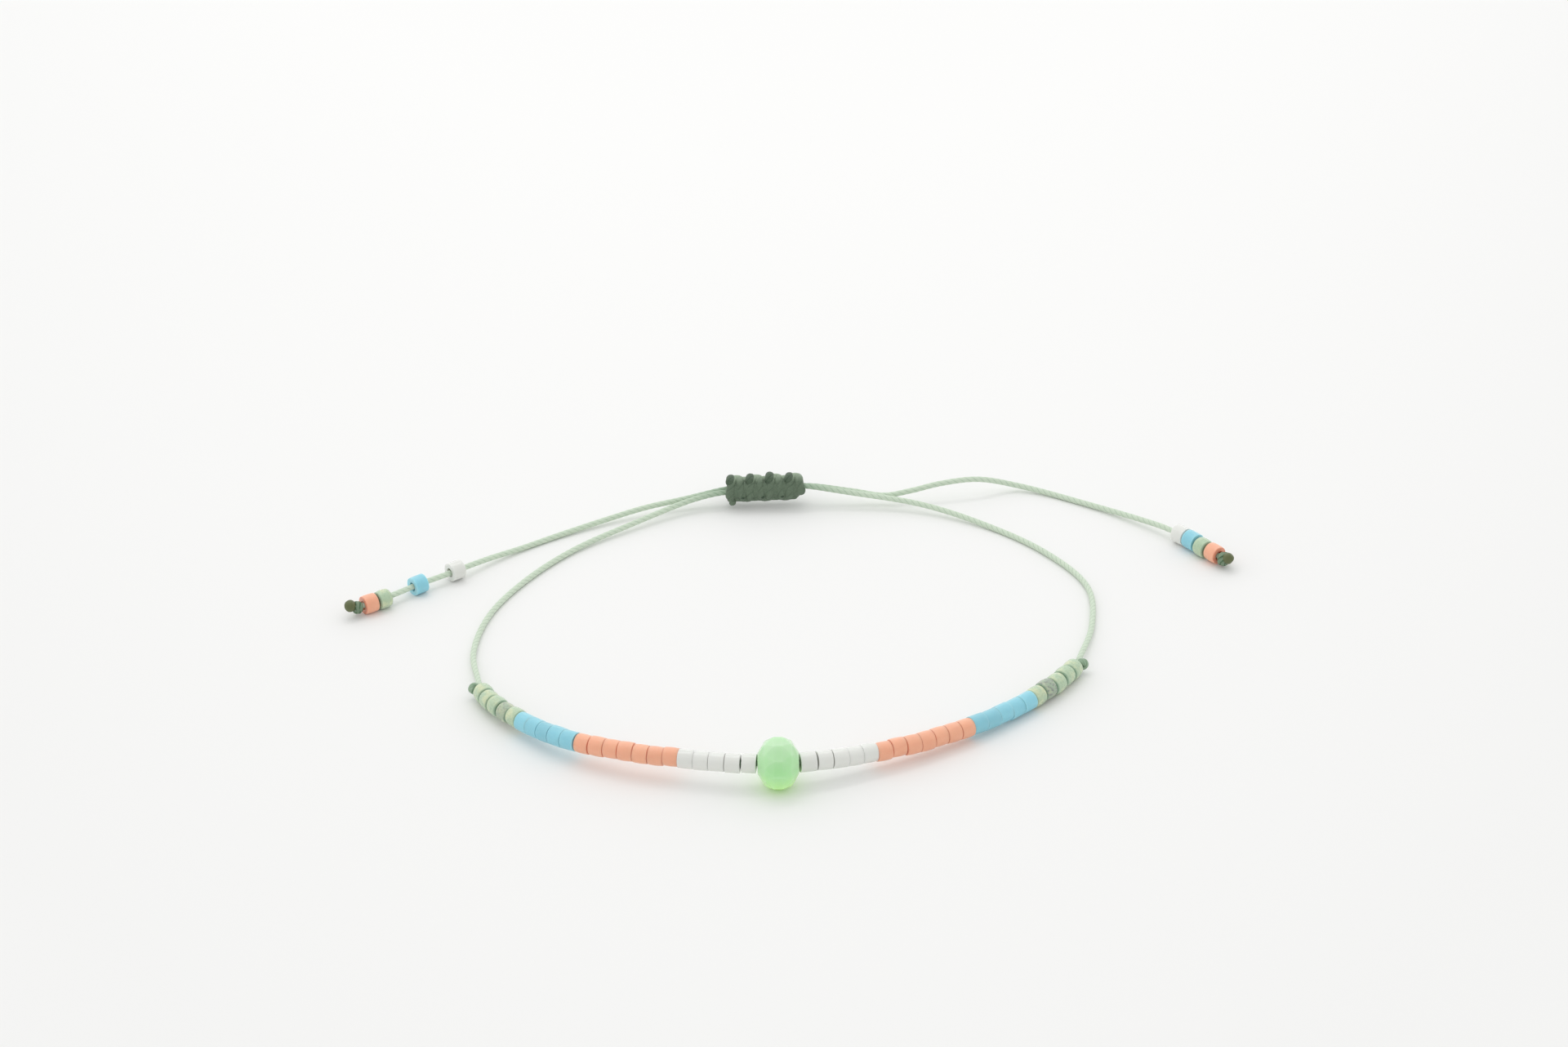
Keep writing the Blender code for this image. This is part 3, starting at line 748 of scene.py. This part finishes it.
class StageSettings(bpy.types.PropertyGroup):
    """Floor, light and camera."""

    floor: color_property("Floor", "White studio floor", (0.90, 0.90, 0.89))
    sky: bpy.props.FloatProperty(
        name="Surroundings", description="Brightness of the white room", default=1.03, min=0.0, max=5.0)
    strip: bpy.props.FloatProperty(
        name="Strip light", description="Power of the light above and behind, in watts",
        default=0.6, min=0.0, max=100.0, unit="POWER")
    elevation: bpy.props.FloatProperty(
        name="Elevation", description="Camera's angle above the floor",
        default=math.radians(30.0), subtype="ANGLE", unit="ROTATION")
    roll: bpy.props.FloatProperty(
        name="Roll", description="Camera's turn about its line of sight",
        default=math.radians(-1.0), subtype="ANGLE", unit="ROTATION")
    lens: bpy.props.FloatProperty(
        name="Lens", description="Focal length of the camera, in millimetres",
        default=129.1, min=20.0, max=300.0)


class BRACELET_OT_stage(bpy.types.Operator):
    """Lays the white floor, lights it softly and sets the camera up"""

    bl_idname = "bracelet.stage"
    bl_label = "Stage"
    bl_options = {"REGISTER", "UNDO"}

    FLOOR_SIZE = 3.0
    STRIP_SIZE = (0.7, 0.14)
    STRIP_PLACE = Vector((-0.1, 0.32, 0.75))
    CAMERA_PLACE = Vector((0.541, -402.172, 243.646)) * MM
    DIMMEST = 0.66
    BRIGHTEST = 1.2
    # Reach of the painted light falloff on the floor, towards the back and to the sides
    DEEP = 0.09
    WIDE = 0.063

    def execute(self, context):
        settings = context.scene.bracelet_stage
        self.lay_floor(settings)
        self.light_room(context.scene, settings)
        self.hang_strip(context.scene, settings)
        self.place_camera(context.scene, settings)
        context.scene.view_settings.view_transform = "Standard"
        return {"FINISHED"}

    def lay_floor(self, settings):
        shape = bmesh.new()
        bmesh.ops.create_grid(shape, x_segments=8, y_segments=8, size=self.FLOOR_SIZE / 2)
        mesh = bpy.data.meshes.new("studio_floor")
        shape.to_mesh(mesh)
        shape.free()
        finish = Finish("studio floor", {"Roughness": 0.9, "Specular IOR Level": 0.2})
        x, y = finish.coordinate("X"), finish.coordinate("Y")
        # Painted light falloff: the floor's colour is painted brighter towards the back and darker towards
        # both sides.
        share = (y * (0.5 / self.DEEP) + 0.5 - x * x * (0.4 / self.WIDE ** 2)).clamped()
        near, far = opaque(settings.floor, 0.955), opaque(settings.floor, 1.02)
        finish.feed("Base Color", finish.tint(share, near, far))
        mesh.materials.append(finish.material)
        floor = bpy.data.objects.new("studio_floor", mesh)
        bpy.context.scene.collection.objects.link(floor)
        floor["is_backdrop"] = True

    def light_room(self, scene, settings):
        """White surroundings, brightest overhead and behind, and a little brighter on the left."""
        world = bpy.data.worlds.new("white room")
        world.use_nodes = True
        scene.world = world
        nodes = Nodes(world.node_tree)
        way = nodes.node("ShaderNodeTexCoord", {}, {}, "Generated")
        x, y, z = (nodes.node("ShaderNodeSeparateXYZ", {}, {"Vector": way}, axis) for axis in "XYZ")
        share = (y * 0.5 + z * 0.2 - x * 0.12 + 0.42).clamped()
        low = opaque((1.0, 1.0, 1.0), settings.sky * self.DIMMEST)
        high = opaque((1.0, 1.0, 1.0), settings.sky * self.BRIGHTEST)
        background = world.node_tree.nodes["Background"]
        nodes.join(background.inputs["Color"], nodes.tint(share, low, high))

    def hang_strip(self, scene, settings):
        light = bpy.data.lights.new("strip light", "AREA")
        light.shape = "RECTANGLE"
        light.size, light.size_y = self.STRIP_SIZE
        light.energy = settings.strip
        lamp = bpy.data.objects.new("strip light", light)
        lamp.location = self.STRIP_PLACE
        lamp.rotation_euler = (-self.STRIP_PLACE).to_track_quat("-Z", "Y").to_euler()
        scene.collection.objects.link(lamp)

    def place_camera(self, scene, settings):
        camera = bpy.data.cameras.new("photo_view")
        camera.lens = settings.lens
        camera.clip_start = 0.01
        camera.clip_end = 10.0
        view = bpy.data.objects.new("photo_view", camera)
        pitch = Matrix.Rotation(math.pi / 2 - settings.elevation, 4, "X")
        roll = Matrix.Rotation(settings.roll, 4, "Z")
        view.matrix_world = Matrix.Translation(self.CAMERA_PLACE) @ pitch @ roll
        scene.collection.objects.link(view)
        scene.camera = view


def make_bead(node, color, route, beads, finish, room=0.0, ends=(0.0, 0.0)):
    """One drilled bead, a little irregular, in the place of its solid and longer by the room it is given.

    Ends are how far its first and last end along the route draw back.
    """
    chance = random.Random(node)
    rim, belly, diameter_share = BEAD_FORMS[color]
    middle, heading, length, _ = bead_place(node, route)
    first, last = ends
    width = BEAD_DIAMETER * diameter_share * (1 + chance.uniform(-1, 1) * beads.size_spread)
    lean = Vector((chance.uniform(-1, 1), chance.uniform(-1, 1), 0.0)) * beads.tilt_spread
    shift = Vector((chance.uniform(-1, 1), chance.uniform(-1, 1), 0.0)) * beads.shift_spread
    shift.z = (first - last) / 2
    shown = length + room - first - last
    place = (
        Matrix.Translation(middle)
        @ heading.to_track_quat("Z", "Y").to_matrix().to_4x4()
        @ Matrix.Translation(shift)
        @ Matrix.Rotation(lean.x, 4, "X")
        @ Matrix.Rotation(lean.y, 4, "Y")
        @ Matrix.Rotation(chance.uniform(0.0, math.tau), 4, "Z")
    )
    profile = bead_profile(shown, width, rim, belly)
    points, faces = turned(profile, BEAD_SEGMENTS, place)
    along = [2 * height / shown for _, height in profile for _ in range(BEAD_SEGMENTS)]
    tone = WORN_BEADS.get(node) or chance.uniform(-1, 1) * 0.8
    form = Form("along", "tone")
    form.add(points, faces, along=along, tone=tone)
    return form.piece(node + "_glass", finish, node, BEAD_SHARP_ANGLE)


BEAD_FINISHES = {"white": white_finish, "coral": coral_finish, "blue": blue_finish, "sage": sage_finish}


def bead_finish(color, beads):
    """The colour's finish, made once."""
    made = bpy.data.materials.get(color + " glass")
    return made or BEAD_FINISHES[color](beads)


class BRACELET_OT_string_beads(bpy.types.Operator):
    """Strings the small beads on both sides of the rondelle"""

    bl_idname = "bracelet.string_beads"
    bl_label = "String beads"
    bl_options = {"REGISTER", "UNDO"}

    def execute(self, context):
        beads = context.scene.bracelet_beads
        for side in ("left", "right"):
            for color, count, left_gap, right_gap in STRING_PATTERN:
                for number in range(1, count + 1):
                    node = f"bead_{side}_{color}_{number}"
                    room = JOINT_FILL + (left_gap if side == "left" else right_gap)
                    ends = OPEN_JOINTS.get(node, (0.0, 0.0))
                    along_ring = ends if side == "right" else ends[::-1]
                    make_bead(node, color, RING, beads, bead_finish(color, beads), room, along_ring)
        return {"FINISHED"}


class BRACELET_OT_rondelle(bpy.types.Operator):
    """Cuts the faceted bead in the middle, with its edges just broken"""

    bl_idname = "bracelet.rondelle"
    bl_label = "Rondelle"
    bl_options = {"REGISTER", "UNDO"}

    def execute(self, context):
        shape = bmesh.new()
        shape.from_mesh(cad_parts["rondelle"].data)
        bmesh.ops.remove_doubles(shape, verts=shape.verts, dist=0.001 * MM)
        bmesh.ops.dissolve_limit(shape, angle_limit=math.radians(2.0), verts=shape.verts, edges=shape.edges)
        low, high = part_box("rondelle")
        middle = (low + high) / 2
        edges = [edge for edge in shape.edges if self.is_outer_ridge(edge, middle)]
        bmesh.ops.bevel(
            shape, geom=edges, offset=RONDELLE_BEVEL, offset_type="OFFSET", segments=2, profile=0.5,
            affect="EDGES", clamp_overlap=True)
        mesh = bpy.data.meshes.new("rondelle_glass")
        shape.to_mesh(mesh)
        shape.free()
        mesh.materials.clear()
        finish = mint_finish(context.scene.bracelet_beads)
        placed_piece("rondelle_glass", mesh, finish, "rondelle")
        return {"FINISHED"}

    def is_outer_ridge(self, edge, middle):
        """True for an edge between two facets, and not for the bore's rim or a seam inside a facet."""
        if len(edge.link_faces) != 2 or edge.calc_face_angle() < math.radians(4.0):
            return False
        return all(math.hypot(*(end.co - middle).yz) > RONDELLE_BORE_REACH for end in edge.verts)


class BRACELET_OT_core_thread(bpy.types.Operator):
    """Runs the thread through the beads, painted dark as shade, with a stop knot at each end"""

    bl_idname = "bracelet.core_thread"
    bl_label = "Core thread and stop knots"
    bl_options = {"REGISTER", "UNDO"}

    WRAP_DIAMETER = 0.44 * MM
    WRAP_REACH = 0.3 * MM
    WRAP_TURNS = 2.2
    WRAP_SHADE = 0.8

    def execute(self, context):
        cord = context.scene.bracelet_cord
        form = Form("groove", "shade")
        points = RING.between(STOP_KNOTS["left"], STOP_KNOTS["right"], CORE_RING_STEP)
        # Painted shade: the thread inside the beads is painted fully dark.
        add_strand(form, points, CORD_DIAMETER, cord, even_shade(points, 1.0), CORE_POINTS_PER_PLY)
        half = (STOP_KNOT_LENGTH - self.WRAP_DIAMETER) / 2
        for middle in STOP_KNOTS.values():
            outward = RING.along(middle).cross(UP).normalized()
            shift = outward * STOP_KNOT_OUTWARD + UP * STOP_KNOT_RISE
            add_wraps(
                form, RING, middle - half, middle + half, self.WRAP_TURNS, self.WRAP_REACH, cord,
                self.WRAP_DIAMETER, self.WRAP_SHADE, shift=shift)
        form.piece("core_thread_strand", loop_finish(cord), "core_thread")
        return {"FINISHED"}


def loop_finish(cord):
    return bpy.data.materials.get("sage cord") or cord_finish("sage cord", cord.light, cord.dark, 0.15 * MM)


def knot_finish(cord):
    return bpy.data.materials.get("knotted cord") or cord_finish(
        "knotted cord", cord.knot_light, cord.knot_dark, 0.12 * MM)


class BRACELET_OT_tail_beads(bpy.types.Operator):
    """Strings four beads on each tail"""

    bl_idname = "bracelet.tail_beads"
    bl_label = "Tail beads"
    bl_options = {"REGISTER", "UNDO"}

    def execute(self, context):
        beads = context.scene.bracelet_beads
        for cord, tail in TAIL_OF_CORD.items():
            for color in TAIL_PATTERN:
                make_bead(f"tail_{tail}_{color}", color, CORDS[cord], beads, bead_finish(color, beads))
        return {"FINISHED"}


def tail_end(cord):
    """The distance along a cord at which its last tail bead ends."""
    _, _, length, distance = bead_place(f"tail_{TAIL_OF_CORD[cord]}_{TAIL_PATTERN[-1]}", CORDS[cord])
    return distance + length / 2


class BRACELET_OT_end_knots(bpy.types.Operator):
    """Ties the knot at the end of each tail, with the melted end of the cord beyond it"""

    bl_idname = "bracelet.end_knots"
    bl_label = "End knots"
    bl_options = {"REGISTER", "UNDO"}

    WRAP_DIAMETER = 0.5 * MM
    WRAP_TURNS = 2.3
    WRAP_SHADE = 0.5
    OVER_TURNS = 0.6
    OVER_SHADE = 0.6
    MELTED_SHADE = 2.0

    def execute(self, context):
        cord = context.scene.bracelet_cord
        for side, tail in TAIL_OF_CORD.items():
            route = CORDS[side]
            reach, beyond, above, width = END_KNOT_FORMS[tail]
            middle = tail_end(side) + CORD_GAP + END_KNOT_LENGTH / 2
            half = (END_KNOT_LENGTH - self.WRAP_DIAMETER) / 2
            form = Form("groove", "shade")
            add_wraps(
                form, route, middle - half, middle + half, self.WRAP_TURNS, reach, cord, self.WRAP_DIAMETER,
                self.WRAP_SHADE)
            add_wraps(
                form, route, middle + half, middle - half, self.OVER_TURNS, reach * 1.15, cord,
                self.WRAP_DIAMETER * 0.9, self.OVER_SHADE, first_angle=2.0)
            tip = middle + beyond
            spot = route.at(tip) + UP * above
            add_melted_end(form, spot, width, route.along(tip), len(tail), self.MELTED_SHADE)
            form.piece(f"end_knot_{tail}_wraps", end_finish(cord), f"end_knot_{tail}")
        return {"FINISHED"}


def end_finish(cord):
    """Knotted cord whose melted tip is olive brown and shiny."""
    made = bpy.data.materials.get("knotted and melted cord")
    if made:
        return made
    finish = Finish("knotted and melted cord", {"IOR": 1.45})
    fibres = finish.speckle(0.12 * MM, 3.0)
    # Painted shade in the grooves between the plies.
    depth = finish.paint("groove").ramped(0.25, 1.0)
    shade = finish.paint("shade")
    melted = shade.ramped(1.0, 2.0)
    spun = shade + depth * 0.6 + fibres * 0.3 - 0.15
    cordage = finish.tint(spun, opaque(cord.knot_light), opaque(cord.knot_dark, 2.0))
    finish.feed("Base Color", finish.tint(melted, cordage, opaque(cord.melted)))
    finish.feed("Roughness", 0.6 - melted * 0.2)
    finish.feed("Normal", finish.relief(fibres, 0.02 * MM))
    return finish.material


class BRACELET_OT_cords(bpy.types.Operator):
    """Twists both cords from their stop knots through the sliding knot to the ends of their tails"""

    bl_idname = "bracelet.cords"
    bl_label = "Cords"
    bl_options = {"REGISTER", "UNDO"}

    INTO_KNOT = 0.4 * MM
    TWIST_RELIEF = 0.75
    DARK_REACH = 7.0 * MM
    DARKEST = 0.7

    def execute(self, context):
        cord = context.scene.bracelet_cord
        finish = loop_finish(cord)
        for side, tail in TAIL_OF_CORD.items():
            length = tail_end(side) + self.INTO_KNOT
            points = CORDS[side].between(0.0, length, CORD_RING_STEP)
            form = Form("groove", "shade")
            shades = [self.shade_at(point) for point in points]
            add_strand(form, points, CORD_DIAMETER, cord, shades, relief=self.TWIST_RELIEF)
            made = form.piece(side + "_cord_twisted", finish, side + "_cord")
            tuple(points[0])
        return {"FINISHED"}

    def shade_at(self, point):
        """The cord is darker close to the sliding knot."""
        away = max(0.0, (point - SLIDER_MIDDLE).length - BAND_LENGTH / 2)
        return self.DARKEST * max(0.0, 1 - away / self.DARK_REACH) ** 2


class BRACELET_OT_slider_knot(bpy.types.Operator):
    """Ties the sliding knot: close bars across its front and back, and dark bumps over its upper edge"""

    bl_idname = "bracelet.slider_knot"
    bl_label = "Sliding knot"
    bl_options = {"REGISTER", "UNDO"}

    BAND_TILT = math.radians(1.5)
    STRAND_DIAMETER = 0.86 * MM
    EDGE_DIAMETER = 0.56 * MM
    TWIST_RELIEF = 0.5
    FIRST_BAR_X = -2.85 * MM
    BAR_COUNT = 8
    BAR_LEAN = 0.08 * MM
    BAR_LIFT = 0.5 * MM

    # Along a bar: share of the way from the middle to an edge, lean and lift, in shares of the two above
    BAR_STEPS = ((1.0, -2, 0.1), (0.7, -1, 0.9), (0.0, 0, 1.1), (0.7, 1, 0.9), (1.0, 2, 0.1))
    UPPER_REACH = 0.8 * MM
    LOWER_REACH = -0.67 * MM
    BUMP_DIAMETER = 0.78 * MM
    BUMP_REACH = (0.96 * MM, 0.99 * MM, 1.08 * MM, 0.96 * MM)
    BUMP_SHADE = 0.88
    TUCK_DIAMETER = 0.4 * MM
    TUCK_BESIDE_BUMP = 0.7 * MM
    TUCK_SHADE = 1.0
    FILL_WIDTH = 1.8 * MM
    FILL_THICKNESS = 1.75 * MM
    FILL_BEVEL = 0.3 * MM
    FILL_SHADE = 0.75
    BODY_SHADE = 0.72
    # Where the painted light at the upper edge begins and where it is full
    PAINTED_LIGHT_FROM = 0.45 * MM
    PAINTED_LIGHT_TO = 0.9 * MM
    STUB_TOP = Vector((-2.85, -0.6, 0.1)) * MM
    STUB_FOOT = Vector((-3.9, 22.5, 0.68)) * MM
    STUB_BOW = Vector((-0.05, -0.1, 0.0)) * MM
    STUB_END_DIAMETER = 0.6 * MM
    STUB_END_SHADE = 0.7

    def execute(self, context):
        cord = context.scene.bracelet_cord
        place = (
            Matrix.Translation(SLIDER_MIDDLE)
            @ Matrix.Rotation(-self.BAND_TILT, 4, "Y")
            @ Matrix.Rotation(SLIDER_ROLL, 4, "X")
        )
        form = Form("groove", "shade")
        self.add_fill(form, place)
        for face in (1, -1):
            self.add_line(form, place, self.bars(face), self.STRAND_DIAMETER, cord)
        # Strands along the upper and lower edges; the upper one is painted paler as painted light.
        for y, lift in ((0.82, 0.2), (-0.78, 0.15)):
            edge = [Vector((x, y, lift)) * MM for x in (-2.7, -1.0, 1.0, 2.9)]
            self.add_line(form, place, edge, self.EDGE_DIAMETER, cord)
        for number, reach in enumerate(self.BUMP_REACH):
            x = self.FIRST_BAR_X + number * KNOT_PITCH
            self.add_line(form, place, self.bump(x, reach), self.BUMP_DIAMETER, cord, self.BUMP_SHADE)
            if number:
                # Painted shade: a short dark strand stands where a hole at the lower edge lies in shade.
                painted_shade_tuck = self.painted_shade_tuck(x - self.TUCK_BESIDE_BUMP)
                self.add_line(form, place, painted_shade_tuck, self.TUCK_DIAMETER, cord, self.TUCK_SHADE)
        top = place @ self.STUB_TOP
        middle = (top + self.STUB_FOOT) / 2 + self.STUB_BOW
        route = Route([top, middle, self.STUB_FOOT], 10)
        stub = route.between(0.0, (top - self.STUB_FOOT).length, KNOT_RING_STEP)
        shades = even_shade(stub, self.BODY_SHADE)
        add_strand(form, stub, self.STRAND_DIAMETER, cord, shades, relief=self.TWIST_RELIEF)
        add_melted_end(form, self.STUB_FOOT, self.STUB_END_DIAMETER, UP, 5, self.STUB_END_SHADE)
        form.piece("slider_knot_strands", knot_finish(cord), "slider_knot")
        return {"FINISHED"}

    def add_fill(self, form, place):
        """A flat core that closes the chinks between the strands, painted dark as the shade in them."""
        half = BAND_LENGTH / 2 - 0.3 * MM
        bevel = half - self.FILL_BEVEL
        profile = [(0.02, half), (0.7, half), (1.0, bevel), (1.0, -bevel), (0.7, -half), (0.02, -half)]
        flat = Matrix.Diagonal((self.FILL_THICKNESS / 2, self.FILL_WIDTH / 2, 1.0, 1.0))
        lying = Matrix.Rotation(math.radians(90.0), 4, "Y")
        points, faces = turned(profile, 24, place @ lying @ flat)
        # Painted shade: the core is painted dark.
        form.add(points, faces, groove=0.0, shade=self.FILL_SHADE)

    def add_line(self, form, place, corners, diameter, cord, shade=None):
        """A strand through points of the band, painted paler towards the upper edge as painted light from
        above, unless it has a shade of its own.
        """
        route = Route([place @ corner for corner in corners], 10)
        line = route.between(0.0, route.length, KNOT_RING_STEP)
        if shade is None:
            back = place.inverted()
            shades = [self.shade_at(back @ point) for point in line]
        else:
            shades = even_shade(line, shade)
        add_strand(form, line, diameter, cord, shades, relief=self.TWIST_RELIEF)

    def shade_at(self, point):
        # Painted light: the strands are painted paler towards the upper edge, as if lit from above.
        share = (point.y - self.PAINTED_LIGHT_FROM) / (self.PAINTED_LIGHT_TO - self.PAINTED_LIGHT_FROM)
        return self.BODY_SHADE * (1 - min(1.0, max(0.0, share)))

    def bars(self, face):
        """Bars from edge to edge on the front (1) or the back (-1), each turning at an edge into the next."""
        points = []
        for k in range(self.BAR_COUNT):
            x = self.FIRST_BAR_X + k * KNOT_PITCH / 2
            ends = (self.LOWER_REACH, self.UPPER_REACH)
            if k % 2:
                ends = ends[::-1]
            if k == self.BAR_COUNT - 1:
                ends = (self.UPPER_REACH, self.LOWER_REACH * 0.6)
            for share, lean, lift in self.BAR_STEPS:
                y = ends[0 if lean < 0 else 1] * share
                points.append(Vector((x + lean * self.BAR_LEAN, y, face * lift * self.BAR_LIFT)))
        return points

    def bump(self, x, reach):
        """The round end of a half knot, from the front over the upper edge to the back."""
        steps = (
            (-0.12, 0.3, 0.62), (-0.06, 0.75, 0.56), (0.0, 1.0, 0.05), (0.05, 0.8, -0.4), (0.1, 0.4, -0.5))
        return [Vector((x + side * MM, reach * share, lift * MM)) for side, share, lift in steps]

    def painted_shade_tuck(self, x):
        """A short strand painted dark at the lower edge, a painted shade for the hole where a bar goes under.
        """
        steps = ((-0.08, -0.5, 0.66), (0.0, -0.66, 0.62), (0.06, -0.82, 0.46))
        return [Vector((x + side * MM, y * MM, lift * MM)) for side, y, lift in steps]


class BRACELET_PT_panel(bpy.types.Panel):
    """Lists the bracelet's pieces and settings"""

    bl_idname = "BRACELET_PT_panel"
    bl_label = "Beaded Cord Bracelet"
    bl_space_type = "VIEW_3D"
    bl_region_type = "UI"
    bl_category = "Bracelet"

    def draw(self, context):
        for operator in OPERATORS:
            self.layout.operator(operator.bl_idname)
        for name, group in SETTINGS.items():
            box = self.layout.box()
            for label in group.__annotations__:
                box.prop(getattr(context.scene, name), label)


SETTINGS = {"bracelet_beads": BeadSettings, "bracelet_cord": CordSettings, "bracelet_stage": StageSettings}

OPERATORS = (
    BRACELET_OT_stage,
    BRACELET_OT_tail_beads,
    BRACELET_OT_end_knots,
    BRACELET_OT_cords,
    BRACELET_OT_core_thread,
    BRACELET_OT_string_beads,
    BRACELET_OT_rondelle,
    BRACELET_OT_slider_knot,
)


def register():
    for name, group in SETTINGS.items():
        bpy.utils.register_class(group)
        setattr(bpy.types.Scene, name, bpy.props.PointerProperty(type=group))
    for operator in OPERATORS:
        bpy.utils.register_class(operator)
    bpy.utils.register_class(BRACELET_PT_panel)


def unregister():
    bpy.utils.unregister_class(BRACELET_PT_panel)
    for operator in reversed(OPERATORS):
        bpy.utils.unregister_class(operator)
    for name, group in SETTINGS.items():
        delattr(bpy.types.Scene, name)
        bpy.utils.unregister_class(group)


def main():
    register()
    for operator in OPERATORS:
        group, name = operator.bl_idname.split(".")
        getattr(getattr(bpy.ops, group), name)()
    boxes = {"cad": CAD_BOX, "visual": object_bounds()}
    sizes = {name: [list(corner) for corner in box] for name, box in boxes.items()}


if __name__ == "__main__":
    main()
